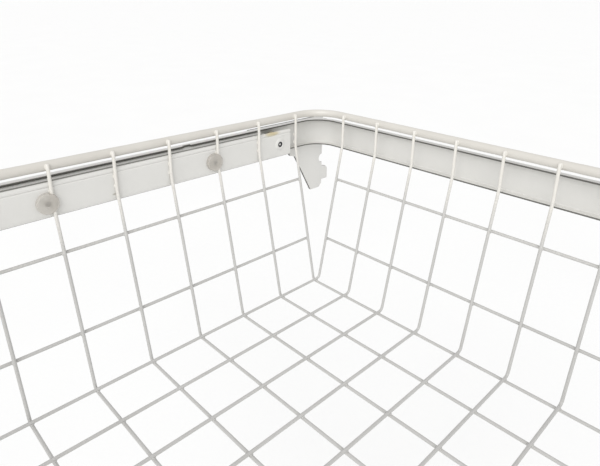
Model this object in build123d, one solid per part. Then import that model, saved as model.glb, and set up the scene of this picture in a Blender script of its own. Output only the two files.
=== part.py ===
"""Pull-out wire basket on a hang-on channel frame for slotted wall standards.

Millimetres. +Z is up, +X is to the right and +Y points at the wall behind the basket.
The origin is at the centre of the whole assembly's plan, at the underside of the basket's floor.
The basket body slides along -Y out of the frame body, on two rollers at each side.
"""

import os
from math import atan, cos, sqrt

from build123d import *

os.makedirs("parts", exist_ok=True)

# Basket grid. The wall standards are 24 inches apart, and the grid's pitch follows from them.
STANDARD_SPACING = 609.6
CELLS_ACROSS = 10
CELLS_DEEP = 7
PITCH_ACROSS = 48.36
PITCH_DEEP = 55.27
WIRE = 3.0
HALF_ACROSS = CELLS_ACROSS * PITCH_ACROSS / 2
HALF_DEEP = CELLS_DEEP * PITCH_DEEP / 2

# Basket wall profile: distances outwards from the floor's edge wires, and heights.
WALL_OUT = 38.95
WALL_SLOPE = 0.21
KNEE_HEIGHT = 167.1
WIRE_TOP = 203.7
LOWER_RAIL_HEIGHT = 53.7
UPPER_RAIL_HEIGHT = 126.2
FLOOR_BEND = 5.0
KNEE_BEND = 22.0
RAIL_OVERHANG = 2.2

# Rim rod.
RIM = 8.4
RIM_OUT = WALL_OUT + WIRE / 2 + RIM / 2
RIM_HEIGHT = 201.0
RIM_CORNER = 34.0

# Frame channel: a C section, open towards the basket, bent into a U. Its webs carry hook bracket
# plates on their outer faces, and the plates' middles are as far apart as the wall standards.
SHEET = 1.5
PLATE = 3.0
CHANNEL_WEB_OUT = (STANDARD_SPACING - PLATE) / 2 - HALF_ACROSS
CHANNEL_DEPTH = 9.6
CHANNEL_LIP_OUT = CHANNEL_WEB_OUT - CHANNEL_DEPTH
CHANNEL_BOTTOM = 158.4
CHANNEL_TOP = 190.0
CHANNEL_CORNER = 36.0
CHANNEL_FRONT_GAP = 8.0
NOTCH_BEHIND = 138.0
NOTCH_LENGTH = 9.0
NOTCH_DEPTH = 3.0

# Basket runner: a web clamped to the wall wires, and a top flange that rides on the front roller.
RUNNER_FACE = WALL_OUT + WIRE / 2
RUNNER_TOP = 187.7
RUNNER_BOTTOM = 157.6
RUNNER_FLANGE = 17.5
RUNNER_GROOVE_HEIGHT = 183.6
RUNNER_GROOVE_HALF = 1.2
RUNNER_GROOVE = 0.6
RUNNER_REAR_GAP = 7.0
RUNNER_FRONT_OVER = 5.0
FLANGE_REAR_GAP = 44.0

# Rollers and their axles.
ROLLER_RADIUS = 12.0
ROLLER_WIDTH = 6.2
ROLLER_OUT = 52.1
JOURNAL = 5.0
RUNNING_GAP = 0.05
CONTACT_GAP = 0.3
TREAD_CROWN = 1.0
TREAD_RIM = 3.0
HUB_WALL = 0.5
RECESS = ROLLER_WIDTH / 4
REAR_ROLLER_GAP = 23.5
FRONT_ROLLER_GAP = 28.0
TRAVEL = 290.0
STOP_HEIGHT = 4.0
STUD_SHOULDER = 10.0
STUD_HEAD = 13.0
STUD_HEAD_THICK = 1.2
STUD_NECK = 8.0
STUD_EYE = 6.4
STUD_EYE_DEPTH = 5.0
CLINCH = 8.0
CLINCH_THICK = 0.8

# Retainer buttons: nylon discs that clamp a wall wire to the runner, one rivet each.
BUTTON = 18.0
BUTTON_THICK = 4.2
BUTTON_EDGE = 1.0
BUTTON_HEIGHT = 170.8
BUTTON_BESIDE = 4.4
BUTTON_WIRES = (2, 5)
GROOVE_GAP = 0.2
BUTTON_RIVET = 4.0
BUTTON_RIVET_HEAD = 5.2
BUTTON_RIVET_HEAD_THICK = 1.0
BUTTON_RIVET_SUNK = 0.9
BUTTON_RIVET_TAIL = 6.6

# Hook brackets: flat plates outside the channel's webs, with two teeth for the wall standard.
BRACKET_REAR = 69.8
BRACKET_FORWARD = -52.0
BRACKET_TOP = 189.0
BRACKET_FOOT = 92.0
BRACKET_TAPER = 2.0
BRACKET_HEEL = (4.0, 5.0)
BRACKET_SLOPE = ((8.0, CHANNEL_BOTTOM), (12.5, 146.0), (21.0, 143.4), (28.2, 130.7),
                 (49.9, BRACKET_FOOT))
TOOTH_REACH = 10.7
TOOTH_HEIGHT = 17.3
LOWER_TOOTH = 101.9
TOOTH_SPACING = 64.0
TOOTH_NOSE = 5.0
TOOTH_CORNER = 3.0
TOOTH_RISE = 2.0
STANDARD_WALL = 2.5
BLANK_CORNER = 1.0
RELIEF_HEIGHT = 132.0
RELIEF_RADIUS = 5.6
BRACKET_RIVETS = ((-42.0, 182.5), (-17.0, 163.5))
BRACKET_RIVET = 4.0
BRACKET_RIVET_HEAD = 7.5
BRACKET_RIVET_HEAD_THICK = 1.4
BRACKET_RIVET_TAIL = 5.0
BRACKET_RIVET_TAIL_THICK = 0.5

# Where the grid stands, so that the assembly's plan is centred on the origin.
REAR_REACH = BRACKET_REAR + TOOTH_REACH
FRONT_REACH = RIM_OUT + RIM / 2
REAR = HALF_DEEP - (REAR_REACH - FRONT_REACH) / 2
FRONT = REAR - 2 * HALF_DEEP
WALL_ANGLE = atan(WALL_SLOPE)

# Roller heights: the rear ones stand on the lower flange, the front ones carry the runner's flange.
REAR_ROLLER_HEIGHT = CHANNEL_BOTTOM + SHEET + ROLLER_RADIUS + CONTACT_GAP
FRONT_ROLLER_HEIGHT = RUNNER_TOP - SHEET - ROLLER_RADIUS - CONTACT_GAP
REAR_ROLLER_Y = REAR - REAR_ROLLER_GAP
FRONT_ROLLER_Y = FRONT + FRONT_ROLLER_GAP

SIDES = {"left": -1, "right": 1}


def save(name, *solids):
    """Write one node: its solids, side by side in one file."""
    shape = solids[0] if len(solids) == 1 else Compound(children=list(solids))
    export_step(shape, f"parts/{name}.step")


def wall_out(height):
    """How far outside the floor's edge wires the wall wires' centre line is at a height."""
    return WALL_OUT - WALL_SLOPE * max(0.0, KNEE_HEIGHT - height)


def rod(path, start, tangent, diameter):
    """A round rod along a path that starts at a point in a direction."""
    return sweep(Plane(origin=start, z_dir=tangent) * Circle(diameter / 2), path=path)


def bar(start, end, diameter):
    """A straight round bar between two points."""
    axis = Vector(*end) - Vector(*start)
    plane = Plane(origin=start, z_dir=axis)
    return extrude(plane * Circle(diameter / 2), axis.length)


def hoop_wire(half, floor_height, place):
    """A wire bent into a tray section: down one wall, across the floor and up the other wall."""
    top = half + WALL_OUT
    fold = half + wall_out(floor_height)
    section = [(-top, WIRE_TOP), (-top, KNEE_HEIGHT), (-fold, floor_height)]
    section += [(-across, height) for across, height in reversed(section)]
    points = [place(across, height) for across, height in section]
    path = FilletPolyline(*points, radius=[KNEE_BEND, FLOOR_BEND, FLOOR_BEND, KNEE_BEND])
    return rod(path, points[0], (0, 0, -1), WIRE)


def side_to_side_wire(index):
    """One of the lower floor wires, which also forms a wall wire at the left and at the right."""
    y = REAR - index * PITCH_DEEP
    return hoop_wire(HALF_ACROSS, WIRE / 2, lambda across, height: (across, y, height))


def front_to_rear_wire(index):
    """One of the upper floor wires, which also forms a wall wire at the front and at the rear."""
    x = index * PITCH_ACROSS - HALF_ACROSS
    middle = (FRONT + REAR) / 2
    return hoop_wire(HALF_DEEP, WIRE * 1.5, lambda across, height: (x, middle + across, height))


def wall_rail_out(height):
    """A wall's long wires lie outside its upright wires and touch them."""
    return wall_out(height) + WIRE / cos(WALL_ANGLE)


def side_rail(side, height):
    """A long straight wire along the left or right wall."""
    x = side * (HALF_ACROSS + wall_rail_out(height))
    return bar((x, FRONT - RAIL_OVERHANG, height), (x, REAR + RAIL_OVERHANG, height), WIRE)


def cross_rail(y_edge, outwards, height):
    """A long straight wire along the front or rear wall."""
    y = y_edge + outwards * wall_rail_out(height)
    reach = HALF_ACROSS + RAIL_OVERHANG
    return bar((-reach, y, height), (reach, y, height), WIRE)


def rim_rod():
    """The closed top rod, with rounded corners, outside the tops of the wall wires."""
    across = 2 * (HALF_ACROSS + RIM_OUT)
    deep = 2 * (HALF_DEEP + RIM_OUT)
    level = Plane(origin=(0, (FRONT + REAR) / 2, RIM_HEIGHT))
    loop = (level * RectangleRounded(across, deep, RIM_CORNER)).wire()
    section = Plane(origin=loop @ 0, z_dir=loop % 0) * Circle(RIM / 2)
    return sweep(section, path=loop)


def channel_path():
    """The centre line of the channel's web in plan: left arm, rear bar, right arm."""
    out = CHANNEL_WEB_OUT
    side = HALF_ACROSS + out
    front = FRONT + CHANNEL_FRONT_GAP
    corners = [(-side, front, 0), (-side, REAR + out, 0), (side, REAR + out, 0), (side, front, 0)]
    return FilletPolyline(*corners, radius=CHANNEL_CORNER), corners[0]


def channel():
    """The U-shaped C channel, with a notch in each upper lip and a stop tab in each lower flange."""
    path, start = channel_path()
    depth, top, bottom = CHANNEL_DEPTH, CHANNEL_TOP, CHANNEL_BOTTOM
    outline = [
        (0, bottom),
        (depth, bottom),
        (depth, bottom + SHEET),
        (SHEET, bottom + SHEET),
        (SHEET, top - SHEET),
        (depth, top - SHEET),
        (depth, top),
        (0, top),
    ]
    plane = Plane(origin=start, x_dir=(1, 0, 0), z_dir=(0, -1, 0))
    body = sweep(plane * make_face(Polyline(*outline, close=True)), path=path)
    for side in SIDES.values():
        body -= channel_notch(side)
        body -= front_axle_hole(side)
        body += stop_tab(side)
        for y, height in BRACKET_RIVETS:
            body -= side_bar(side, CHANNEL_WEB_OUT - 2 * SHEET, CHANNEL_WEB_OUT + SHEET,
                             REAR + y, height, BRACKET_RIVET)
    return body


def side_bar(side, inner, outer, y, height, diameter):
    """A round bar across a side wall, from one distance outside the edge wires to another."""
    start = side * (HALF_ACROSS + inner)
    end = side * (HALF_ACROSS + outer)
    return bar((start, y, height), (end, y, height), diameter)


def side_block(side, inner, outer, front, rear, low, high):
    """A rectangular block beside a side wall, given by its six limits."""
    middle = side * (HALF_ACROSS + (inner + outer) / 2)
    centre = (middle, (front + rear) / 2, (low + high) / 2)
    return Pos(*centre) * Box(outer - inner, rear - front, high - low)


def channel_notch(side):
    """The small notch in the upper lip of a side arm."""
    rear = REAR - NOTCH_BEHIND + NOTCH_LENGTH / 2
    return side_block(side, CHANNEL_LIP_OUT - 1, CHANNEL_LIP_OUT + NOTCH_DEPTH,
                      rear - NOTCH_LENGTH, rear, CHANNEL_TOP - 2 * SHEET, CHANNEL_TOP + 1)


def stop_tab(side):
    """The tab that stops the rear roller at the end of its travel."""
    drop = ROLLER_RADIUS + CONTACT_GAP - STOP_HEIGHT
    reach = sqrt(ROLLER_RADIUS**2 - drop**2) + CONTACT_GAP
    rear = REAR_ROLLER_Y - TRAVEL - reach
    floor = CHANNEL_BOTTOM + SHEET
    return side_block(side, CHANNEL_LIP_OUT + 1, CHANNEL_WEB_OUT - SHEET / 2,
                      rear - SHEET, rear, floor - SHEET / 2, floor + STOP_HEIGHT)


def front_axle_hole(side):
    """The hole in the channel's web for a front roller's axle."""
    return side_bar(side, CHANNEL_WEB_OUT - 2 * SHEET, CHANNEL_WEB_OUT + SHEET,
                    FRONT_ROLLER_Y, FRONT_ROLLER_HEIGHT, JOURNAL)


def runner(side):
    """A basket runner: a web with a shallow groove near its top and a flange turned outwards."""
    rear = REAR - RUNNER_REAR_GAP
    front = FRONT - RUNNER_FRONT_OVER
    inner = RUNNER_FACE
    outer = RUNNER_FACE + SHEET
    groove = [(0, -RUNNER_GROOVE_HALF), (RUNNER_GROOVE, 0), (0, RUNNER_GROOVE_HALF)]
    section = [
        (inner, RUNNER_BOTTOM),
        (outer, RUNNER_BOTTOM),
        *[(outer + depth, RUNNER_GROOVE_HEIGHT + rise) for depth, rise in groove],
        (outer, RUNNER_TOP - SHEET),
        (inner + RUNNER_FLANGE, RUNNER_TOP - SHEET),
        (inner + RUNNER_FLANGE, RUNNER_TOP),
        (inner, RUNNER_TOP),
        *[(inner + depth, RUNNER_GROOVE_HEIGHT + rise) for depth, rise in reversed(groove)],
    ]
    corners = [(side * (HALF_ACROSS + out), rear, height) for out, height in section]
    body = extrude(make_face(Polyline(*corners, close=True)), rear - front, dir=(0, -1, 0))
    body -= side_block(side, outer, inner + RUNNER_FLANGE + 1, REAR - FLANGE_REAR_GAP, rear + 1,
                       RUNNER_TOP - 2 * SHEET, RUNNER_TOP + 1)
    body -= side_bar(side, inner - 1, outer + 1, REAR_ROLLER_Y, REAR_ROLLER_HEIGHT, STUD_NECK)
    for y in button_places():
        body -= side_bar(side, inner - 1, outer + 1, y, BUTTON_HEIGHT, BUTTON_RIVET)
    return body


def button_places():
    """The Y of each retainer button: just in front of its wall wire."""
    return [REAR - index * PITCH_DEEP - BUTTON_BESIDE for index in BUTTON_WIRES]


def retainer_button(side, y):
    """A nylon button moulded round its rivet's head, with a groove for the wall wire."""
    inner = RUNNER_FACE - BUTTON_THICK
    body = side_bar(side, inner, RUNNER_FACE, y, BUTTON_HEIGHT, BUTTON)
    face = body.faces().sort_by(Axis.X)[-1 if side < 0 else 0]
    body = fillet(face.edges(), BUTTON_EDGE)
    body -= wire_groove(side, y + BUTTON_BESIDE)
    head = inner + BUTTON_RIVET_SUNK
    seat = head + BUTTON_RIVET_HEAD_THICK
    body -= side_bar(side, head, seat, y, BUTTON_HEIGHT, BUTTON_RIVET_HEAD)
    body -= side_bar(side, seat, RUNNER_FACE + 1, y, BUTTON_HEIGHT, BUTTON_RIVET)
    return body


def wire_groove(side, wire_y):
    """The room that a button leaves for its wall wire, which bends inwards below the knee."""
    half = WIRE / 2 + GROOVE_GAP
    low, high = BUTTON_HEIGHT - BUTTON, BUTTON_HEIGHT + BUTTON
    section = [(wall_out(height) - half, height) for height in (low, KNEE_HEIGHT, high)]
    section += [(RUNNER_FACE + 1, high), (RUNNER_FACE + 1, low)]
    rear = wire_y + half
    corners = [(side * (HALF_ACROSS + out), rear, height) for out, height in section]
    return extrude(make_face(Polyline(*corners, close=True)), 2 * half, dir=(0, -1, 0))


def button_rivet(side, y):
    """The rivet that holds a retainer button: a head inside the nylon, a shank and a tail."""
    head = RUNNER_FACE - BUTTON_THICK + BUTTON_RIVET_SUNK
    seat = head + BUTTON_RIVET_HEAD_THICK
    back = RUNNER_FACE + SHEET
    body = side_bar(side, head, seat, y, BUTTON_HEIGHT, BUTTON_RIVET_HEAD)
    body += side_bar(side, seat, back, y, BUTTON_HEIGHT, BUTTON_RIVET)
    body += side_bar(side, back, back + CLINCH_THICK, y, BUTTON_HEIGHT, BUTTON_RIVET_TAIL)
    return body


def roller(side, y, height):
    """A nylon roller with a crowned tread, a bore and shallow recesses round its hub."""
    outer = ROLLER_OUT + ROLLER_WIDTH
    body = side_bar(side, ROLLER_OUT, outer, y, height, 2 * ROLLER_RADIUS)
    body = chamfer(body.edges().filter_by(GeomType.CIRCLE), TREAD_CROWN)
    for inner_end, outer_end in ((ROLLER_OUT - 1, ROLLER_OUT + RECESS), (outer - RECESS, outer + 1)):
        ring = side_bar(side, inner_end, outer_end, y, height, 2 * (ROLLER_RADIUS - TREAD_RIM))
        ring -= side_bar(side, inner_end, outer_end, y, height, STUD_SHOULDER + 2 * HUB_WALL)
        body -= ring
    bore = JOURNAL + 2 * RUNNING_GAP
    body -= side_bar(side, ROLLER_OUT - 1, outer + 1, y, height, bore)
    return body


def rear_axle(side):
    """A semi-tubular stud: head on the runner's inner face, shoulder, journal and clinched end."""
    y, height = REAR_ROLLER_Y, REAR_ROLLER_HEIGHT
    back = RUNNER_FACE + SHEET
    shoulder = ROLLER_OUT - RUNNING_GAP
    end = ROLLER_OUT + ROLLER_WIDTH + RUNNING_GAP
    head = RUNNER_FACE - STUD_HEAD_THICK
    body = side_bar(side, head, RUNNER_FACE, y, height, STUD_HEAD)
    body += side_bar(side, RUNNER_FACE, back, y, height, STUD_NECK)
    body += side_bar(side, back, shoulder, y, height, STUD_SHOULDER)
    body += side_bar(side, shoulder, end, y, height, JOURNAL)
    body += side_bar(side, end, end + CLINCH_THICK, y, height, CLINCH)
    body -= side_bar(side, head - 1, head + STUD_EYE_DEPTH, y, height, STUD_EYE)
    return body


def front_axle(side):
    """A front roller's stud: head outside the channel's web, journal, and a clinched inner end."""
    y, height = FRONT_ROLLER_Y, FRONT_ROLLER_HEIGHT
    web_inside = CHANNEL_WEB_OUT - SHEET
    spacer = ROLLER_OUT + ROLLER_WIDTH + RUNNING_GAP
    start = ROLLER_OUT - RUNNING_GAP
    body = side_bar(side, start - CLINCH_THICK, start, y, height, CLINCH)
    body += side_bar(side, start, spacer, y, height, JOURNAL)
    body += side_bar(side, spacer, web_inside, y, height, STUD_SHOULDER)
    body += side_bar(side, web_inside, CHANNEL_WEB_OUT, y, height, JOURNAL)
    body += side_bar(side, CHANNEL_WEB_OUT, CHANNEL_WEB_OUT + CLINCH_THICK, y, height, STUD_HEAD)
    return body


def tooth(height, nose=0):
    """Corners of one hook tooth, from its root's foot to its root's top, with or without a nose."""
    root = REAR + BRACKET_REAR
    tip = root + TOOTH_REACH
    top = height + TOOTH_HEIGHT
    hook = [(root + STANDARD_WALL, height), (root + STANDARD_WALL, height - nose)] if nose else []
    return [(root, height), *hook, (tip, height - nose), (tip, top - TOOTH_CORNER),
            (tip - TOOTH_CORNER, top), (root, top + TOOTH_RISE)]


def hook_bracket(side):
    """The plate that hangs the frame on a wall standard, with a relief above its lower tooth."""
    root = REAR + BRACKET_REAR
    heel_run, heel_rise = BRACKET_HEEL
    outline = [
        (REAR + BRACKET_FORWARD, BRACKET_TOP),
        (REAR + BRACKET_FORWARD, CHANNEL_BOTTOM + BRACKET_TAPER),
        *[(REAR + behind, height) for behind, height in BRACKET_SLOPE],
        (root - heel_run, BRACKET_FOOT),
        (root, BRACKET_FOOT + heel_rise),
        *tooth(LOWER_TOOTH),
        *tooth(LOWER_TOOTH + TOOTH_SPACING, TOOTH_NOSE),
        (root, BRACKET_TOP),
    ]
    blank = make_face(FilletPolyline(*outline, radius=BLANK_CORNER, close=True))
    x = side * (HALF_ACROSS + CHANNEL_WEB_OUT)
    inner_face = Plane(origin=(x, 0, 0), x_dir=(0, 1, 0), z_dir=(1, 0, 0))
    plate = extrude(inner_face * blank, side * PLATE)
    plate -= bar((x - PLATE * 2, root, RELIEF_HEIGHT), (x + PLATE * 2, root, RELIEF_HEIGHT),
                 2 * RELIEF_RADIUS)
    for y, height in BRACKET_RIVETS:
        plate -= side_bar(side, CHANNEL_WEB_OUT - 1, CHANNEL_WEB_OUT + 2 * PLATE, REAR + y, height,
                          BRACKET_RIVET)
    return plate


def bracket_rivet(side, y, height):
    """A rivet through a hook bracket and the channel's web, nearly flush inside the channel."""
    inside = CHANNEL_WEB_OUT - SHEET
    outside = CHANNEL_WEB_OUT + PLATE
    body = side_bar(side, inside - BRACKET_RIVET_TAIL_THICK, inside, y, height, BRACKET_RIVET_TAIL)
    body += side_bar(side, inside, outside, y, height, BRACKET_RIVET)
    body += side_bar(side, outside, outside + BRACKET_RIVET_HEAD_THICK, y, height,
                     BRACKET_RIVET_HEAD)
    return body


for index in range(CELLS_DEEP + 1):
    save(f"side_to_side_wire_{index + 1}", side_to_side_wire(index))
for index in range(CELLS_ACROSS + 1):
    save(f"front_to_rear_wire_{index + 1}", front_to_rear_wire(index))
for level, height in {"lower": LOWER_RAIL_HEIGHT, "upper": UPPER_RAIL_HEIGHT}.items():
    for name, side in SIDES.items():
        save(f"{name}_wall_{level}_wire", side_rail(side, height))
    save(f"rear_wall_{level}_wire", cross_rail(REAR, 1, height))
    save(f"front_wall_{level}_wire", cross_rail(FRONT, -1, height))
save("rim_rod", rim_rod())
save("channel_frame", channel())
for name, side in SIDES.items():
    save(f"{name}_runner", runner(side))
    save(f"{name}_rear_roller", roller(side, REAR_ROLLER_Y, REAR_ROLLER_HEIGHT))
    save(f"{name}_front_roller", roller(side, FRONT_ROLLER_Y, FRONT_ROLLER_HEIGHT))
    save(f"{name}_rear_axle", rear_axle(side))
    save(f"{name}_front_axle", front_axle(side))
    save(f"{name}_hook_bracket", hook_bracket(side))
for number, index in enumerate(BUTTON_WIRES):
    for name, side in SIDES.items():
        place = ("rear", "front")[number]
        save(f"{name}_{place}_retainer_button", retainer_button(side, button_places()[number]))
save("button_rivets", *[button_rivet(side, y) for side in SIDES.values() for y in button_places()])
save("bracket_rivets", *[bracket_rivet(side, REAR + y, height)
                         for side in SIDES.values() for y, height in BRACKET_RIVETS])
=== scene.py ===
"""A pull-out wire basket on a hang-on channel frame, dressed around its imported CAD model.

Lengths are in metres, in the model's frame: +Z up, +X to the right, +Y towards the wall behind.
"""

import math

import bmesh
import bpy
import numpy as np
from mathutils import Matrix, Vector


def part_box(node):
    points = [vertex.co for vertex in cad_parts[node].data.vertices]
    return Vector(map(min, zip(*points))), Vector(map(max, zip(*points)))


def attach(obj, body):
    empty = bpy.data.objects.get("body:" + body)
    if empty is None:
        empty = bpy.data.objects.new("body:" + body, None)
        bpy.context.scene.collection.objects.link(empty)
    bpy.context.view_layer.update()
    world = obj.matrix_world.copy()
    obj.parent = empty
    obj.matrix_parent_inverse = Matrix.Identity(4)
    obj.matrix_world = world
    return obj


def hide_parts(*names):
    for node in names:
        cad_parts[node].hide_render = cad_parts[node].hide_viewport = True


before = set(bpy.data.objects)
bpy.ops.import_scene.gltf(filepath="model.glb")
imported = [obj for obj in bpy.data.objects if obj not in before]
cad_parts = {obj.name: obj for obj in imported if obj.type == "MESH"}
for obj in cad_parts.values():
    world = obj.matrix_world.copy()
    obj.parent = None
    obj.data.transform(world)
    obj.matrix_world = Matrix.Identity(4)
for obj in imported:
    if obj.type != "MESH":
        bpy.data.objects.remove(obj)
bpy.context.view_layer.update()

# The basket's wires. Each is one 3 mm drawn steel wire, bent into a tray section and welded to the
# wires that it crosses. The finished basket is coated with white epoxy powder, a thick glossy skin
# that is uneven by a few hundredths of a millimetre and rounds every cut end.
MM = 0.001
WIRE = 3.0 * MM
CELLS_DEEP = 7
CELLS_ACROSS = 10
WALL_SLOPE = 0.21
KNEE_HEIGHT = 167.1 * MM
FLOOR_BEND = 5.0 * MM
KNEE_BEND = 22.0 * MM
ROUND_SIDES = 20
LONGEST_STEP = 6.0 * MM


def hex_colour(text):
    """A linear RGBA colour from an sRGB hex string: ((v + 0.055) / 1.055) ** 2.4 above 0.04."""
    value = np.array([int(text[i:i + 2], 16) for i in (1, 3, 5)]) / 255
    linear = np.where(value <= 0.04045, value / 12.92, ((value + 0.055) / 1.055) ** 2.4)
    return (*linear.tolist(), 1.0)


def add_node(tree, kind, inputs, **settings):
    """One shader node: its settings, and each input's value or the output that feeds it."""
    node = tree.nodes.new(kind)
    for key, value in settings.items():
        setattr(node, key, value)
    for key, value in inputs.items():
        if isinstance(value, bpy.types.NodeSocket):
            tree.links.new(value, node.inputs[key])
        else:
            node.inputs[key].default_value = value
    return node


def new_material(name):
    """An empty node material: the material, its tree, and its object coordinates."""
    material = bpy.data.materials.new(name)
    material.use_nodes = True
    tree = material.node_tree
    tree.nodes.clear()
    return material, tree, add_node(tree, "ShaderNodeTexCoord", {}).outputs["Object"]


def finish_material(material, tree, shader):
    """Link a shader to a material's surface."""
    add_node(tree, "ShaderNodeOutputMaterial", {"Surface": shader.outputs["BSDF"]})
    return material


def powder_coat(name, white, shade, roughness, marks=()):
    """White epoxy powder, sprayed and baked: a thick warm white skin with a soft gloss.

    Its orange peel has waves of about 2 mm, and its white drifts a little over patches of 40 mm
    where the powder lies thinner. Each mark is a laid-on colour, its strength, centre and radii:
    full where the length of (place - centre) / radii plus a noise is below 0.9, gone above 1.6.
    """
    material, tree, place = new_material(name)
    patches = add_node(tree, "ShaderNodeTexNoise", {"Vector": place, "Scale": 25.0, "Detail": 3.0})
    thinness = patches.outputs["Fac"]
    mix = add_node(tree, "ShaderNodeMix", {"Factor": thinness, "A": hex_colour(shade),
                                           "B": hex_colour(white)}, data_type="RGBA")
    for mark_colour, strength, centre, radii in marks:
        wobble = add_node(tree, "ShaderNodeTexNoise",
                          {"Vector": place, "Scale": 900.0, "Detail": 3.0})
        offset = add_node(tree, "ShaderNodeVectorMath", {0: place, 1: centre},
                          operation="SUBTRACT")
        scaled = add_node(tree, "ShaderNodeVectorMath", {0: offset.outputs["Vector"], 1: radii},
                          operation="DIVIDE")
        reach = add_node(tree, "ShaderNodeVectorMath", {0: scaled.outputs["Vector"]},
                         operation="LENGTH")
        ragged = add_node(tree, "ShaderNodeMath",
                          {0: reach.outputs["Value"], 1: wobble.outputs["Fac"]}, operation="ADD")
        cover = add_node(tree, "ShaderNodeMapRange",
                         {"Value": ragged.outputs["Value"], "From Min": 0.9, "From Max": 1.6,
                          "To Min": strength, "To Max": 0.0})
        mix = add_node(tree, "ShaderNodeMix",
                       {"Factor": cover.outputs["Result"], "A": mix.outputs["Result"],
                        "B": hex_colour(mark_colour)}, data_type="RGBA")
    gloss = add_node(tree, "ShaderNodeMapRange",
                     {"Value": thinness, "From Min": 0.2, "From Max": 0.8,
                      "To Min": roughness + 0.1, "To Max": roughness})
    peel = add_node(tree, "ShaderNodeTexNoise", {"Vector": place, "Scale": 480.0, "Detail": 2.0})
    relief = add_node(tree, "ShaderNodeBump", {"Height": peel.outputs["Fac"], "Strength": 0.15,
                                               "Distance": 0.4 * MM})
    shader = add_node(tree, "ShaderNodeBsdfPrincipled",
                      {"Base Color": mix.outputs["Result"], "Roughness": gloss.outputs["Result"],
                       "Normal": relief.outputs["Normal"], "IOR": 1.5, "Coat Weight": 0.2,
                       "Coat Roughness": 0.2})
    return finish_material(material, tree, shader)


# White epoxy powder on the basket's drawn wires: glossy, lighter and creamier towards the walls'
# tops, and greyer lower down.
UPPER_WALL_BAND = ((0.0, 0.0, 205.0 * MM), (100.0, 100.0, 75.0 * MM))
wire_coat = powder_coat("white epoxy coated wire", "#BFBEBB", "#B0AFAC", 0.3,
                        [("#DBD8D1", 1.0, *UPPER_WALL_BAND)])


def rounded_path(corners, radii, steps=10):
    """A path of straight runs whose inner corners are arcs.

    Each arc starts at radius * tan(turn / 2) before its corner, and its points are
    start + radius * (sin a * into + (1 - cos a) * inward), for a from 0 to the turn.
    """
    corners = np.asarray(corners, float)
    stretches = [corners[:1]]
    for before, corner, after, radius in zip(corners[:-2], corners[1:-1], corners[2:], radii):
        into = (corner - before) / np.linalg.norm(corner - before)
        away = (after - corner) / np.linalg.norm(after - corner)
        turn = math.acos(float(np.clip(into @ away, -1, 1)))
        inward = away - into * (away @ into)
        inward /= np.linalg.norm(inward)
        start = corner - into * radius * math.tan(turn / 2)
        angle = np.linspace(0, turn, steps)[:, None]
        stretches.append(start + radius * (np.sin(angle) * into + (1 - np.cos(angle)) * inward))
    stretches.append(corners[-1:])
    return np.vstack(stretches)


def divided(path, longest=LONGEST_STEP):
    """The same path with its long runs cut into equal steps, none longer than the given one."""
    steps = np.diff(path, axis=0)
    counts = np.maximum(1, np.ceil(np.linalg.norm(steps, axis=1) / longest).astype(int))
    run = np.repeat(np.arange(len(steps)), counts)
    along = np.arange(counts.sum()) - np.repeat(np.cumsum(counts) - counts, counts)
    return np.vstack([path[run] + steps[run] * (along / counts[run])[:, None], path[-1:]])


def tangents(path, closed=False):
    """Unit tangents of a path, each along the chord between a point's two neighbours."""
    if closed:
        chord = np.roll(path, -1, axis=0) - np.roll(path, 1, axis=0)
    else:
        chord = np.gradient(path, axis=0)
    return chord / np.linalg.norm(chord, axis=1, keepdims=True)


def grid_shell(rings, closed=False):
    """A closed surface over rings of points, with flat end faces unless the rings form a loop.

    The faces are turned over if the sum of p0 . (p1 x p2) over the quads comes out negative, so
    that their normals point outwards. It returns the points and the list of faces.
    """
    rows, columns = rings.shape[:2]
    points = rings.reshape(-1, 3)
    row = np.arange(rows if closed else rows - 1)[:, None]
    column = np.arange(columns)[None, :]
    after, beside = (row + 1) % rows, (column + 1) % columns
    quads = np.stack([row * columns + column, after * columns + column,
                      after * columns + beside, row * columns + beside], -1).reshape(-1, 4)
    corner = (points - points.mean(0))[quads]
    volume = np.einsum("ij,ij->i", corner[:, 0], np.cross(corner[:, 1], corner[:, 2])).sum()
    faces = quads.tolist()
    if not closed:
        faces += [list(range(columns)), list(range(rows * columns))[:-columns - 1:-1]]
    return points, faces if volume > 0 else [face[::-1] for face in faces]


def make_piece(name, shells, body, material, stands_for=(), sharp=None, others=()):
    """One object from closed shells, riding on a body and standing for some CAD nodes.

    Each further material comes with the slice or list of the faces that carry it.
    """
    points = np.vstack([shell[0] for shell in shells])
    counts = np.cumsum([0] + [len(shell[0]) for shell in shells])
    faces = [[index + first for index in face]
             for shell, first in zip(shells, counts.tolist()) for face in shell[1]]
    mesh = bpy.data.meshes.new(name)
    mesh.from_pydata(points.tolist(), [], faces)
    mesh.polygons.foreach_set("use_smooth", np.ones(len(mesh.polygons), bool))
    if sharp:
        mesh.set_sharp_from_angle(angle=math.radians(sharp))
    finish = np.zeros(len(mesh.polygons), int)
    mesh.materials.append(material)
    for number, (other, faces_of_it) in enumerate(others, 1):
        mesh.materials.append(other)
        finish[faces_of_it] = number
    mesh.polygons.foreach_set("material_index", finish)
    piece = bpy.data.objects.new(name, mesh)
    bpy.context.scene.collection.objects.link(piece)
    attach(piece, body)
    if stands_for:
        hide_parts(*stands_for)
    return piece


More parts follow.
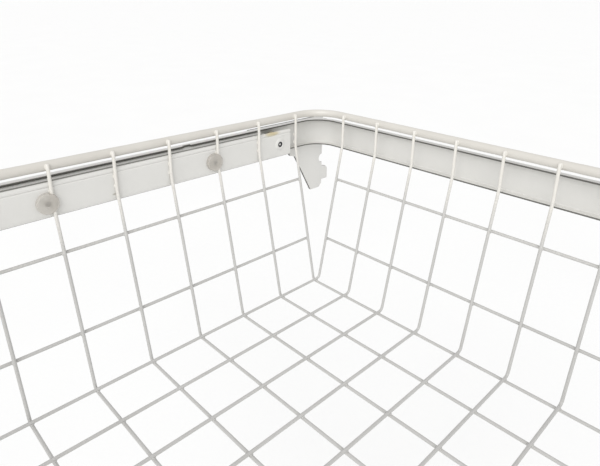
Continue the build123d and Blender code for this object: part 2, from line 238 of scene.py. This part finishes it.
def rod_shell(path, radius, normal, seed, closed=False, sides=ROUND_SIDES):
    """A coated round rod along a flat path: p + r * (cos a * across + sin a * normal).

    Its radius swells and shrinks along the rod by a sum of three sines of 1 percent or less. An
    open rod ends in a rounded nose, radius * sqrt(1 - u * u) for u from 0 to nearly 1.
    """
    across = np.cross(tangents(path, closed), normal)
    length = np.linalg.norm(np.diff(path, axis=0, append=path[:1] if closed else path[-1:]), axis=1)
    along = np.cumsum(length) / length.sum()
    waves = np.round(length.sum() / (np.array([31.0, 19.0, 11.5]) * MM))
    phase = np.random.default_rng(seed).uniform(0, 2 * np.pi, 3)
    swell = np.sin(2 * np.pi * along[:, None] * waves + phase) @ np.array([0.01, 0.007, 0.005])
    angle = np.linspace(0, 2 * np.pi, sides, endpoint=False)[None, :, None]
    around = np.cos(angle) * across[:, None, :] + np.sin(angle) * np.asarray(normal, float)
    rings = path[:, None, :] + radius * (1 + swell)[:, None, None] * around
    if closed:
        return grid_shell(rings, closed=True)
    step = np.linspace(1, 0, 5)[:-1]
    shrink = np.sqrt(1 - (0.98 * step) ** 2)[:, None, None]
    heads = []
    for end, next_to in ((0, 1), (-1, -2)):
        outward = path[end] - path[next_to]
        outward /= np.linalg.norm(outward)
        inset = path[end] - outward * radius * 0.5
        centre = inset + outward * (step * radius * 0.5)[:, None]
        heads.append(centre[:, None, :] + radius * shrink * around[end])
    return grid_shell(np.concatenate([heads[0], rings[1:-1], heads[1][::-1]]))


def wall_offset(height):
    """How far outside the floor's edge wires the wall wires' centre line is at a height."""
    return wall_out - WALL_SLOPE * max(0.0, KNEE_HEIGHT - height)


def tray_section(half, floor_height):
    """Corners of a U-shaped wire as (across, height): wall top, knee, fold, then back up."""
    left = [(-(half + wall_out), wire_top), (-(half + wall_out), KNEE_HEIGHT),
            (-(half + wall_offset(floor_height)), floor_height)]
    return left + [(-across, height) for across, height in reversed(left)]


def middle(node):
    """The middle of a CAD node's box."""
    low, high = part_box(node)
    return np.array((low + high) / 2)


rear_edge = middle("side_to_side_wire_1")[1]
front_edge = middle(f"side_to_side_wire_{CELLS_DEEP + 1}")[1]
half_across = -middle("front_to_rear_wire_1")[0]
half_deep = (rear_edge - front_edge) / 2
middle_y = (rear_edge + front_edge) / 2
wire_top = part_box("side_to_side_wire_1")[1].z
wall_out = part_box("side_to_side_wire_1")[1].x - WIRE / 2 - half_across
bends = [KNEE_BEND, FLOOR_BEND, FLOOR_BEND, KNEE_BEND]
cross_ys = np.linspace(rear_edge, front_edge, CELLS_DEEP + 1)
long_xs = np.linspace(-half_across, half_across, CELLS_ACROSS + 1)

for number, y in enumerate(cross_ys, 1):
    corners = [(x, y, z) for x, z in tray_section(half_across, WIRE / 2)]
    shell = rod_shell(divided(rounded_path(corners, bends)), WIRE / 2, (0, 1, 0), number)
    make_piece(f"coated_side_to_side_wire_{number}", [shell], "basket", wire_coat,
               [f"side_to_side_wire_{number}"])

for number, x in enumerate(long_xs, 1):
    corners = [(x, middle_y + y, z) for y, z in tray_section(half_deep, WIRE * 1.5)]
    shell = rod_shell(divided(rounded_path(corners, bends)), WIRE / 2, (1, 0, 0), 20 + number)
    make_piece(f"coated_front_to_rear_wire_{number}", [shell], "basket", wire_coat,
               [f"front_to_rear_wire_{number}"])

# The long wires of the four walls, straight lengths of the same wire. They are welded outside the
# upright wires, two to a wall, and their ends stand a little past the corner wires.
for wall in ("left", "right", "rear", "front"):
    for level in ("lower", "upper"):
        node = f"{wall}_wall_{level}_wire"
        low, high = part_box(node)
        along = 1 if wall in ("left", "right") else 0
        ends = np.array([middle(node), middle(node)])
        ends[:, along] = low[along], high[along]
        shell = rod_shell(divided(ends), WIRE / 2, (0, 0, 1), 40 + len(node))
        make_piece(f"coated_{node}", [shell], "basket", wire_coat, [node])

# The rim, an 8.4 mm steel rod bent into a rounded rectangle and butt welded into a ring. It is
# welded to the outer side of every wall wire's top and coated together with the wires.
RIM = 8.4 * MM
RIM_CORNER = 34.0 * MM
rim_low, rim_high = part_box("rim_rod")
rim_height = (rim_low.z + rim_high.z) / 2
rim_out = rim_high.x - RIM / 2 - half_across


def rounded_ring(half_x, half_y, centre_y, radius, height):
    """A rounded rectangle in plan, as a closed path that starts halfway along its rear side."""
    corners = [(0, half_y), (half_x, half_y), (half_x, -half_y), (-half_x, -half_y),
               (-half_x, half_y), (0, half_y)]
    corners = [(x, y + centre_y, height) for x, y in corners]
    return divided(rounded_path(corners, [radius] * 4, steps=24))[:-1]


# The same powder on the rim rod, in a lighter and creamier white than the lower wires have.
rim_coat = powder_coat("white epoxy coated rim rod", "#D1CEC7", "#C5C1B9", 0.28)
ring = rounded_ring(half_across + rim_out, half_deep + rim_out, middle_y, RIM_CORNER, rim_height)
rim_shell = rod_shell(ring, RIM / 2, (0, 0, 1), 60, closed=True, sides=32)
make_piece("coated_rim_rod", [rim_shell], "basket", rim_coat, ["rim_rod"])

# The welds. Resistance welding presses crossing wires a little into each other, and the coating
# fills the corners round each joint, so every crossing carries a small smooth swelling.
BEAD_RINGS = np.linspace(0, np.pi, 7)[1:-1]
BEAD_SIDES = np.linspace(0, 2 * np.pi, 10, endpoint=False)
FLAT_BEAD = 1.15 * MM
WIDE_BEAD = 2.15 * MM
TALL_BEAD = RIM / 2.6
SHEET_BEAD = 0.8 * MM
RAIL_HEIGHTS = [middle("left_wall_lower_wire")[2], middle("left_wall_upper_wire")[2]]
RUNNER_WELD_HEIGHTS = [171.0 * MM, 180.0 * MM]


def bead(centre, radii):
    """A low ellipsoid: centre + radii * (sin t cos a, sin t sin a, cos t)."""
    t, a = np.meshgrid(BEAD_RINGS, BEAD_SIDES, indexing="ij")
    unit = np.stack([np.sin(t) * np.cos(a), np.sin(t) * np.sin(a), np.cos(t)], -1)
    return grid_shell(np.asarray(centre) + unit * np.asarray(radii))


flat_in_x = (FLAT_BEAD, WIDE_BEAD, WIDE_BEAD)
flat_in_y = (WIDE_BEAD, FLAT_BEAD, WIDE_BEAD)
flat_in_z = (WIDE_BEAD, WIDE_BEAD, FLAT_BEAD)
beads = [bead((x, y, WIRE), flat_in_z) for x in long_xs for y in cross_ys]
for height in RAIL_HEIGHTS:
    contact = wall_offset(height) + WIRE / 2
    beads += [bead((side * (half_across + contact), y, height), flat_in_x)
              for side in (-1, 1) for y in cross_ys]
    beads += [bead((x, middle_y + side * (half_deep + contact), height), flat_in_y)
              for side in (-1, 1) for x in long_xs]
joint = wall_out + WIRE / 2
beads += [bead((side * (half_across + joint), y, rim_height), (FLAT_BEAD, WIDE_BEAD, TALL_BEAD))
          for side in (-1, 1) for y in cross_ys]
beads += [bead((x, middle_y + side * (half_deep + joint), rim_height),
               (WIDE_BEAD, FLAT_BEAD, TALL_BEAD)) for side in (-1, 1) for x in long_xs]
beads += [bead((side * (half_across + joint), y, height), (SHEET_BEAD, WIDE_BEAD, WIDE_BEAD))
          for side in (-1, 1) for y in cross_ys for height in RUNNER_WELD_HEIGHTS]
make_piece("weld_beads", beads, "basket", wire_coat)

# The runners. Each is a strip of 1.5 mm steel, cold rolled into an upright web with a shallow
# groove below its top bend and a flange turned outwards. Its web is welded to the wall wires.
SHEET = 1.5 * MM
RUNNER_GROOVE_HEIGHT = 183.6 * MM
RUNNER_GROOVE = 0.6 * MM
RUNNER_GROOVE_HALF = 1.2 * MM
GROOVE_LIP = 1.0 * MM
GROOVE_FLOOR = 0.7 * MM
SHEET_BEND = 1.5 * MM
FLANGE_REAR_GAP = 44.0 * MM
SHADOW_AND_DUST_REACH = 3.4 * MM
STUD_STAIN = (-282.5 * MM, 143.0 * MM, 186.3 * MM)
WELD_STAIN = (-281.5 * MM, -45.5 * MM, 163.5 * MM)
EDGE_STEPS = 4
runner_low, runner_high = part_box("right_runner")

# White epoxy powder on the rolled strip: flatter than on the wires, with a rust bleed over the
# rear stud and a scorched weld mark on one wire near the runner's lower edge.
sheet_coat = powder_coat(
    "white epoxy coated strip", "#DAD9D5", "#D0CFCB", 0.36,
    [("#B9A870", 0.7, STUD_STAIN, (5.0 * MM, 12.0 * MM, 3.0 * MM)),
     ("#8C8877", 0.6, WELD_STAIN, (4.0 * MM, 2.4 * MM, 1.1 * MM))])
# Painted shade on the strip's slit edges: a dark grey that draws the thin shadow lines along its
# lips and edges.
shaded_edge_paint = powder_coat("painted shade on slit edges", "#6B6A65", "#54534F", 0.5)
# The rim's shadow, painted on the runner's flange close to the web and under the rim, on dusty
# and scuffed coating.
rim_shadow_and_dust = powder_coat("painted rim shadow on dusty coating", "#7E7D76", "#6F6E67", 0.5)


def strip_outline(centre, thickness=SHEET):
    """The outline of a bent strip's section: centre line +- half the thickness * its normal.

    Each free edge is rounded by an ellipse arc, half * (0.6 cos a * tangent + sin a * normal).
    """
    half = thickness / 2
    centre = np.asarray(centre, float)
    along = tangents(centre)
    centre[0] += along[0] * half * 0.6
    centre[-1] -= along[-1] * half * 0.6
    normal = np.stack([-along[:, 1], along[:, 0]], 1)
    angle = np.linspace(np.pi / 2, -np.pi / 2, EDGE_STEPS + 2)[1:-1, None]
    far = centre[-1] + half * (0.6 * np.cos(angle) * along[-1] + np.sin(angle) * normal[-1])
    near = centre[0] - half * (0.6 * np.cos(angle) * along[0] + np.sin(angle) * normal[0])
    return np.vstack([centre + half * normal, far, (centre - half * normal)[::-1], near])


def strip_faces(rows, columns, chosen):
    """Numbers of the faces of a swept strip that lie in the chosen columns of its outline."""
    return (np.arange(rows - 1)[:, None] * columns + np.asarray(chosen)[None, :]).ravel()


def edge_columns(count):
    """The columns of a strip's two rounded edges, from its outline's number of points."""
    side = (count - 2 * EDGE_STEPS) // 2
    return [*range(side - 1, side + EDGE_STEPS), *range(count - EDGE_STEPS - 1, count)]


def side_rings(side, outline, ys):
    """Rings of an (out, height) outline at several y: x = side * (half_across + out)."""
    ring = np.stack([side * (half_across + outline[:, 0]), np.zeros(len(outline)),
                     outline[:, 1]], 1)
    return ring + np.asarray(ys)[:, None, None] * np.array([0.0, 1.0, 0.0])


def runner_rings(side):
    """A runner's rings of points, from its rear end to its front end.

    The web bows by 0.1 mm in slow waves along its length, and behind the flange's rear end the
    flange's points are drawn back to the web's outer face: out = min(out, face + thickness).
    """
    face, reach = runner_low.x - half_across, runner_high.x - half_across
    web, top = face + SHEET / 2, runner_high.z - SHEET / 2
    groove = [(web, RUNNER_GROOVE_HEIGHT - RUNNER_GROOVE_HALF),
              (web + RUNNER_GROOVE, RUNNER_GROOVE_HEIGHT),
              (web, RUNNER_GROOVE_HEIGHT + RUNNER_GROOVE_HALF)]
    corners = [(web, runner_low.z), *groove, (web, top), (reach, top)]
    smooth = [GROOVE_LIP, GROOVE_FLOOR, GROOVE_LIP, SHEET_BEND]
    outline = strip_outline(divided(rounded_path(corners, smooth, steps=6), 4 * MM))
    flange_end = rear_edge - FLANGE_REAR_GAP
    ys = np.concatenate([np.arange(runner_high.y, flange_end, -LONGEST_STEP),
                         [flange_end + 0.1 * MM, flange_end],
                         np.arange(flange_end - LONGEST_STEP, runner_low.y, -LONGEST_STEP),
                         [runner_low.y]])
    rings = side_rings(side, outline, ys)
    bow = 0.1 * MM * np.sin(ys / 0.031) * np.sin(ys / 0.073)
    rings[:, :, 0] += side * bow[:, None]
    cut = (ys > flange_end)[:, None] & (np.abs(rings[:, :, 0]) > half_across + face + SHEET)
    rings[:, :, 0] = np.where(cut, side * (half_across + face + SHEET), rings[:, :, 0])
    return rings


for name, side in (("left", -1), ("right", 1)):
    rings = runner_rings(side)
    rows, columns = rings.shape[:2]
    section = np.abs(rings[rows // 2])
    on_top = section[:, 2] > runner_high.z - 0.1 * MM
    near_web = section[:, 0] < runner_low.x + SHADOW_AND_DUST_REACH
    # The strip's two rounded edges carry painted shade, thin dark shadow lines.
    edges = strip_faces(rows, columns, edge_columns(columns))
    # The flange's strip next to the web carries the painted rim shadow on dusty coating.
    shadow_and_dust_faces = strip_faces(rows, columns, np.flatnonzero(on_top & near_web))
    make_piece(f"coated_{name}_runner", [grid_shell(rings)], "basket", sheet_coat,
               [f"{name}_runner"], sharp=50,
               others=[(shaded_edge_paint, edges), (rim_shadow_and_dust, shadow_and_dust_faces)])

# The retainer buttons and their rivets. Each button is natural nylon, moulded round the head of a
# zinc plated rivet, and clamps one wall wire in its groove against the runner.
BUTTON_EDGE = 0.35 * MM
LATHE_SIDES = 48


def turned(side, centre, profile, sides=LATHE_SIDES, closed=False):
    """A turned shape on an axis along X: y + r cos a, z + r sin a, at x = side * (half + out)."""
    out, radius = np.asarray(profile, float).T
    angle = np.linspace(0, 2 * np.pi, sides, endpoint=False)
    x = np.repeat(side * (half_across + out)[:, None], sides, 1)
    return grid_shell(np.stack([x, centre[1] + radius[:, None] * np.cos(angle),
                                centre[2] + radius[:, None] * np.sin(angle)], -1), closed)


def eased_copy(node, width):
    """The CAD solid of a node as one closed shell, with its sharp edges rounded by a width."""
    source = bmesh.new()
    source.from_mesh(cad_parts[node].data)
    bmesh.ops.remove_doubles(source, verts=source.verts, dist=1e-6)
    bmesh.ops.dissolve_limit(source, angle_limit=math.radians(0.5), verts=source.verts,
                             edges=source.edges)
    edges = [e for e in source.edges if e.is_manifold and e.calc_face_angle() > math.radians(35)]
    bmesh.ops.bevel(source, geom=edges, offset=width, segments=2, profile=0.5, affect="EDGES",
                    clamp_overlap=True)
    bmesh.ops.recalc_face_normals(source, faces=source.faces)
    points = np.array([v.co for v in source.verts])
    faces = [[v.index for v in face.verts] for face in source.faces]
    source.free()
    return points, faces


def natural_nylon(name, colour, shade, roughness, cover, scatter):
    """Moulded nylon without pigment: milky and slightly yellow, and clear where it is thin.

    Faint flow marks are about 6 mm apart, and the mould's fine matt grain is about 1.5 mm.
    """
    material, tree, place = new_material(name)
    flow = add_node(tree, "ShaderNodeTexNoise", {"Vector": place, "Scale": 160.0, "Detail": 2.0})
    mix = add_node(tree, "ShaderNodeMix",
                   {"Factor": flow.outputs["Fac"], "A": hex_colour(shade), "B": hex_colour(colour)},
                   data_type="RGBA")
    grain = add_node(tree, "ShaderNodeTexNoise", {"Vector": place, "Scale": 700.0, "Detail": 2.0})
    relief = add_node(tree, "ShaderNodeBump", {"Height": grain.outputs["Fac"], "Strength": 0.1,
                                               "Distance": 0.3 * MM})
    shader = add_node(tree, "ShaderNodeBsdfPrincipled",
                      {"Base Color": mix.outputs["Result"], "Normal": relief.outputs["Normal"],
                       "Roughness": roughness, "IOR": 1.53, "Alpha": cover,
                       "Subsurface Weight": scatter, "Subsurface Scale": 2.0 * MM})
    return finish_material(material, tree, shader)


def zinc_plate(name, colour, shade, roughness):
    """Zinc plated steel, dulled in cloudy patches of about 3 mm."""
    material, tree, place = new_material(name)
    cloud = add_node(tree, "ShaderNodeTexNoise", {"Vector": place, "Scale": 300.0, "Detail": 3.0})
    haze = cloud.outputs["Fac"]
    mix = add_node(tree, "ShaderNodeMix",
                   {"Factor": haze, "A": hex_colour(shade), "B": hex_colour(colour)},
                   data_type="RGBA")
    dulling = add_node(tree, "ShaderNodeMapRange",
                       {"Value": haze, "From Min": 0.2, "From Max": 0.8,
                        "To Min": roughness + 0.12, "To Max": roughness})
    grain = add_node(tree, "ShaderNodeTexNoise", {"Vector": place, "Scale": 900.0, "Detail": 2.0})
    relief = add_node(tree, "ShaderNodeBump", {"Height": grain.outputs["Fac"], "Strength": 0.1,
                                               "Distance": 0.2 * MM})
    shader = add_node(tree, "ShaderNodeBsdfPrincipled",
                      {"Base Color": mix.outputs["Result"], "Roughness": dulling.outputs["Result"],
                       "Normal": relief.outputs["Normal"], "Metallic": 1.0})
    return finish_material(material, tree, shader)


# Natural nylon, seen against the coated steel behind it, and the dulled zinc of the rivets.
button_nylon = natural_nylon("translucent natural nylon", "#D3CEC6", "#C4BFB6", 0.28, 0.55, 0.0)
dull_zinc = zinc_plate("dulled zinc plate", "#66686C", "#55575B", 0.4)

BUTTON_RIVET_PROFILE = [(0.9, 0.1), (0.9, 2.3), (1.1, 2.6), (1.9, 2.6), (1.9, 2.0), (5.7, 2.0),
                        (5.7, 3.3), (6.2, 3.1), (6.5, 2.2), (6.5, 0.1)]
button_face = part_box("right_rear_retainer_button")[0].x - half_across
button_rivets = []
for name, side in (("left", -1), ("right", 1)):
    for place_name in ("rear", "front"):
        node = f"{name}_{place_name}_retainer_button"
        make_piece(f"moulded_{node}", [eased_copy(node, BUTTON_EDGE)], "basket", button_nylon,
                   [node], sharp=40)
        profile = [(button_face + out * MM, radius * MM) for out, radius in BUTTON_RIVET_PROFILE]
        button_rivets.append(turned(side, middle(node), profile, 24))
make_piece("button_rivets_plated", button_rivets, "basket", dull_zinc,
           ["button_rivets"], sharp=40)

# The rear studs and rollers. A semi-tubular steel stud is set in each runner before coating, so
# that its head and a soft round pad of coating show inside. Its hollow eye is shallow here, and a
# ring of painted shade in it stands for the shadow inside a deep eye.
STUD_PAD = 15.6 * MM
ROLLER = 24.0 * MM
BORE = 5.1 * MM
RUNNING_GAP = 0.05 * MM
# A turned piece's faces come ring by ring, and these rings carry another finish.
EYE_FACES = slice(LATHE_SIDES, 4 * LATHE_SIDES)
SHANK_FACES = slice(12 * LATHE_SIDES, 19 * LATHE_SIDES)

# Natural nylon of the rollers, matt from running, and painted shade for the inside of the eyes.
roller_nylon = natural_nylon("natural nylon roller", "#CFCBBB", "#C4BFAE", 0.45, 1.0, 0.3)
eye_shade_paint = powder_coat("painted shade in a stud eye", "#3C3C40", "#2A2A2E", 0.6)


def stud_profile(head_out, runner_out, roller_out, end_out):
    """(out, radius) of a rear stud, from its eye's floor round its head to its clinched end."""
    return [(head_out + 0.7 * MM, 0.1 * MM), (head_out + 0.75 * MM, 1.1 * MM),
            (head_out + 1.1 * MM, 1.3 * MM), (head_out + 1.1 * MM, 3.0 * MM),
            (head_out + 0.2 * MM, 3.2 * MM), (head_out, 3.5 * MM), (head_out, 4.0 * MM),
            (head_out + 0.05 * MM, 4.8 * MM), (head_out + 0.3 * MM, 5.7 * MM),
            (head_out + 0.8 * MM, 6.4 * MM),
            (runner_out - 0.15 * MM, 7.0 * MM), (runner_out + 0.05 * MM, STUD_PAD / 2),
            (runner_out + SHEET, 5.0 * MM), (roller_out, 5.0 * MM), (roller_out, 2.5 * MM),
            (end_out, 2.5 * MM), (end_out, 4.0 * MM), (end_out + 0.5 * MM, 3.8 * MM),
            (end_out + 0.8 * MM, 2.8 * MM), (end_out + 0.8 * MM, 0.1 * MM)]


def roller_profile(inner, outer, bore):
    """(out, radius) of a roller: rounded tread, a ring-shaped recess in each face, and a bore."""
    quarter = (outer - inner) / 4
    half_section = [(inner, bore), (inner, 5.4 * MM), (inner + 0.3 * MM, 5.6 * MM),
                    (inner + quarter, 5.7 * MM), (inner + quarter, 8.9 * MM),
                    (inner + 0.2 * MM, 9.1 * MM), (inner, 9.4 * MM), (inner, 10.8 * MM),
                    (inner + 0.35 * MM, 11.5 * MM), (inner + 1.0 * MM, 11.95 * MM)]
    rest = [(inner + outer - out, radius) for out, radius in reversed(half_section)]
    return half_section + [((inner + outer) / 2, ROLLER / 2)] + rest


stud_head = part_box("right_rear_axle")[0].x - half_across
roller_low, roller_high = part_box("right_rear_roller")
roller_in, roller_end = roller_low.x - half_across, roller_high.x - half_across
for name, side in (("left", -1), ("right", 1)):
    node = f"{name}_rear_axle"
    profile = stud_profile(stud_head, runner_low.x - half_across, roller_in - RUNNING_GAP,
                           roller_end + RUNNING_GAP)
    # The eye's rings carry painted shade, the shadow of a deep hollow; the shank is plated.
    make_piece(f"coated_{name}_rear_stud", [turned(side, middle(node), profile)], "basket",
               sheet_coat, [node], sharp=50,
               others=[(dull_zinc, SHANK_FACES), (eye_shade_paint, EYE_FACES)])
    for place_name in ("rear", "front"):
        node = f"{name}_{place_name}_roller"
        profile = roller_profile(roller_in, roller_end, BORE / 2)
        shell = turned(side, middle(node), profile, closed=True)
        make_piece(f"moulded_{node}", [shell], node, roller_nylon, [node],
                   sharp=40)

# The channel frame: one strip of 1.5 mm steel rolled into a C section that opens towards the
# basket, and bent into a U. Its lower flange is the rear rollers' track, with a stop tab in front.
CHANNEL_DEPTH = 9.6 * MM
CHANNEL_CORNER = 36.0 * MM
CHANNEL_BEND = 2.2 * MM
NOTCH_BEHIND = 138.0 * MM
NOTCH_LENGTH = 9.0 * MM
NOTCH_DEPTH = 3.0 * MM
TRAVEL = 290.0 * MM
STOP_AHEAD = 9.0 * MM
STOP_HEIGHT = 4.0 * MM
channel_low, channel_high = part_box("channel_frame")
web_out = channel_high.x - half_across


def with_notch(arm, x):
    """An arm's stations from front to rear, with a close pair at each end of its lip's notch."""
    ends = rear_edge - NOTCH_BEHIND + np.array([-0.5, 0.5]) * NOTCH_LENGTH
    pairs = (ends[:, None] + np.array([-0.05, 0.05]) * MM).ravel()
    before, beyond = arm[:, 1] < pairs.min(), arm[:, 1] > pairs.max()
    return np.vstack([arm[before], np.stack([np.full(4, x), pairs], 1), arm[beyond]])


def channel_stations():
    """Points of the web's outer face in plan and the outward unit vectors there.

    The outward vector is the tangent turned to its left, (-ty, tx).
    """
    side, rear = half_across + web_out, rear_edge + web_out
    corners = [(-side, channel_low.y, 0), (-side, rear, 0), (side, rear, 0),
               (side, channel_low.y, 0)]
    path = divided(rounded_path(corners, [CHANNEL_CORNER] * 2, steps=24), 12 * MM)[:, :2]
    half = len(path) // 2
    path = np.vstack([with_notch(path[:half], -side), with_notch(path[half:][::-1], side)[::-1]])
    along = tangents(path)
    return path, np.stack([-along[:, 1], along[:, 0]], 1)


def channel_rings():
    """The C section swept round the U: station + out * outward, with out held in by the notches."""
    low, high = channel_low.z + SHEET / 2, channel_high.z - SHEET / 2
    corners = [(-CHANNEL_DEPTH, low), (-SHEET / 2, low), (-SHEET / 2, high), (-CHANNEL_DEPTH, high)]
    bend = [CHANNEL_BEND] * 2
    outline = strip_outline(divided(rounded_path(corners, bend, steps=7), 5 * MM))
    path, outward = channel_stations()
    out = np.repeat(outline[None, :, 0], len(path), 0)
    behind = np.abs(path[:, 1] - (rear_edge - NOTCH_BEHIND))
    notched = (behind < NOTCH_LENGTH / 2)[:, None] & (outline[:, 1] > (low + high) / 2)
    out = np.where(notched, np.maximum(out, NOTCH_DEPTH - CHANNEL_DEPTH), out)
    plan = path[:, None, :] + out[:, :, None] * outward[:, None, :]
    height = np.repeat(outline[None, :, 1], len(path), 0)
    return np.concatenate([plan, height[:, :, None]], -1)


def block_shell(low, high, ease=0.3 * MM):
    """A block with eased edges: its corners pulled in by the ease at both ends of its height."""
    x0, y0, z0 = low
    x1, y1, z1 = high
    heights = [z0, z0 + ease, z1 - ease, z1]
    insets = [ease, 0.0, 0.0, ease]
    rings = [[(x0 + i, y0 + i, z), (x1 - i, y0 + i, z), (x1 - i, y1 - i, z), (x0 + i, y1 - i, z)]
             for z, i in zip(heights, insets)]
    return grid_shell(np.array(rings))


stop_rear = middle("right_rear_roller")[1] - TRAVEL - STOP_AHEAD
track = channel_low.z + SHEET
tabs = []
for side in (-1, 1):
    near, far = sorted([side * (half_across + web_out - CHANNEL_DEPTH + 1 * MM),
                        side * (half_across + web_out - SHEET)])
    tabs.append(block_shell((near, stop_rear - SHEET, track - SHEET * 0.4),
                            (far, stop_rear, track + STOP_HEIGHT)))
rings = channel_rings()
# The channel's two slit edges carry painted shade, thin dark shadow lines along its lips.
edges = strip_faces(*rings.shape[:2], edge_columns(rings.shape[1]))
make_piece("coated_channel_frame", [grid_shell(rings), *tabs], "frame", sheet_coat,
           ["channel_frame"], sharp=50, others=[(shaded_edge_paint, edges)])

# The hook brackets: 3 mm plates blanked in a press, coated, and riveted outside the channel's
# arms. Each has two hook teeth for the slots of a wall standard.
PLATE_EDGE = 0.35 * MM
for name in ("left", "right"):
    node = f"{name}_hook_bracket"
    plate = make_piece(f"coated_{node}", [eased_copy(node, PLATE_EDGE)], "frame", sheet_coat,
                       [node], sharp=50)
    # The blanked edges, where |normal x| < 0.6, carry the same painted shade, a thin dark line
    # round the plate's outline.
    facing = np.empty((len(plate.data.polygons), 3))
    plate.data.polygons.foreach_get("normal", facing.ravel())
    plate.data.materials.append(shaded_edge_paint)
    plate.data.polygons.foreach_set("material_index", (np.abs(facing[:, 0]) < 0.6).astype(int))

# The front studs and the bracket rivets: zinc plated, pressed through the channel's web. Their
# heads are outside and the front rollers turn on the studs' inner ends.
RIVET_PROFILE = [(-0.5, 0.1), (-0.5, 2.1), (-0.25, 2.45), (0.0, 2.5), (0.0, 2.0), (4.5, 2.0),
                 (4.5, 3.75), (4.9, 3.6), (5.5, 2.6), (5.9, 0.9), (5.9, 0.1)]
FRONT_STUD_PROFILE = [(-0.85, 0.1), (-0.85, 3.2), (-0.6, 3.85), (-0.05, 4.0), (-0.05, 2.5),
                      (6.25, 2.5), (6.25, 5.0), (7.9, 5.0), (7.9, 2.5), (9.4, 2.5), (9.4, 6.5),
                      (9.8, 6.3), (10.2, 5.2), (10.2, 0.1)]
RIVET_PLACES = [(-42.0 * MM, 182.5 * MM), (-17.0 * MM, 163.5 * MM)]
rivets = []
for side in (-1, 1):
    for back, height in RIVET_PLACES:
        profile = [(web_out - SHEET + out * MM, radius * MM) for out, radius in RIVET_PROFILE]
        rivets.append(turned(side, (0, rear_edge + back, height), profile, 24))
make_piece("bracket_rivets_plated", rivets, "frame", dull_zinc, ["bracket_rivets"],
           sharp=40)
for name, side in (("left", -1), ("right", 1)):
    node = f"{name}_front_axle"
    profile = [(roller_in + out * MM, radius * MM) for out, radius in FRONT_STUD_PROFILE]
    make_piece(f"plated_{name}_front_stud", [turned(side, middle(node), profile)], "frame",
               dull_zinc, [node], sharp=40)

# The stage: a plain pale floor in metres well below the hanging basket, a white surround, and one
# broad soft key light from high in front, on the right.
FLOOR_DROP = 0.9
FLOOR_HALF = 1000.0
floor_material, tree, place = new_material("pale matt floor")
clouds = add_node(tree, "ShaderNodeTexNoise", {"Vector": place, "Scale": 2.0, "Detail": 2.0})
mix = add_node(tree, "ShaderNodeMix",
               {"Factor": clouds.outputs["Fac"], "A": hex_colour("#EFEFEE"),
                "B": hex_colour("#F2F2F1")}, data_type="RGBA")
shader = add_node(tree, "ShaderNodeBsdfPrincipled",
                  {"Base Color": mix.outputs["Result"], "Roughness": 0.9})
finish_material(floor_material, tree, shader)
floor_mesh = bpy.data.meshes.new("floor")
corners = [(-FLOOR_HALF, -FLOOR_HALF), (FLOOR_HALF, -FLOOR_HALF), (FLOOR_HALF, FLOOR_HALF),
           (-FLOOR_HALF, FLOOR_HALF)]
floor_mesh.from_pydata([(x, y, -FLOOR_DROP) for x, y in corners], [], [(0, 1, 2, 3)])
floor_mesh.materials.append(floor_material)
floor = bpy.data.objects.new("floor", floor_mesh)
bpy.context.scene.collection.objects.link(floor)

WORLD_STRENGTH = 0.78
SUN_STRENGTH = 1.85
SUN_ANGLE = 50.0
SUN_PLACE = (0.44, -0.66, 0.61)
world = bpy.data.worlds.new("white surround")
world.use_nodes = True
world.node_tree.nodes["Background"].inputs["Color"].default_value = hex_colour("#FEFEFF")
world.node_tree.nodes["Background"].inputs["Strength"].default_value = WORLD_STRENGTH
bpy.context.scene.world = world


def place_facing(thing, place, back, up):
    """Stand a camera or light at a place, with its back along one vector and its top near up."""
    back = np.asarray(back, float) / np.linalg.norm(back)
    side = np.cross(up, back)
    side /= np.linalg.norm(side)
    axes = np.stack([side, np.cross(back, side), back], 1)
    thing.matrix_world = Matrix.Translation(place) @ Matrix(axes.tolist()).to_4x4()
    bpy.context.scene.collection.objects.link(thing)


key_light = bpy.data.lights.new("broad_key", "SUN")
key_light.energy = SUN_STRENGTH
key_light.angle = math.radians(SUN_ANGLE)
place_facing(bpy.data.objects.new("broad_key", key_light), SUN_PLACE, SUN_PLACE, (0, 1, 0))

# The camera, inside the basket's front right part, looking down at its rear left corner. Its
# turn, tilt and roll are in degrees, and its lens is a moderately wide one in millimetres.
CAMERA_PLACE = (145.18 * MM, -230.83 * MM, 335.91 * MM)
CAMERA_TURN = 45.63
CAMERA_TILT = 19.69
CAMERA_ROLL = 0.71
CAMERA_LENS = 31.22
CAMERA_SHIFT_Y = -0.09
camera_data = bpy.data.cameras.new("camera")
camera_data.lens = CAMERA_LENS
camera_data.sensor_width = 36.0
camera_data.shift_y = CAMERA_SHIFT_Y
camera_data.clip_start = 0.005
camera_data.clip_end = 3000.0
camera = bpy.data.objects.new("camera", camera_data)
turn, tilt, roll = np.radians([CAMERA_TURN, CAMERA_TILT, CAMERA_ROLL])
back = np.array([np.sin(turn) * np.cos(tilt), -np.cos(turn) * np.cos(tilt), np.sin(tilt)])
level = np.array([np.cos(turn), np.sin(turn), 0.0])
upright = np.cross(back, level)
place_facing(camera, CAMERA_PLACE, back, np.cos(roll) * upright - np.sin(roll) * level)
bpy.context.scene.camera = camera
bpy.context.scene.view_settings.view_transform = "Standard"
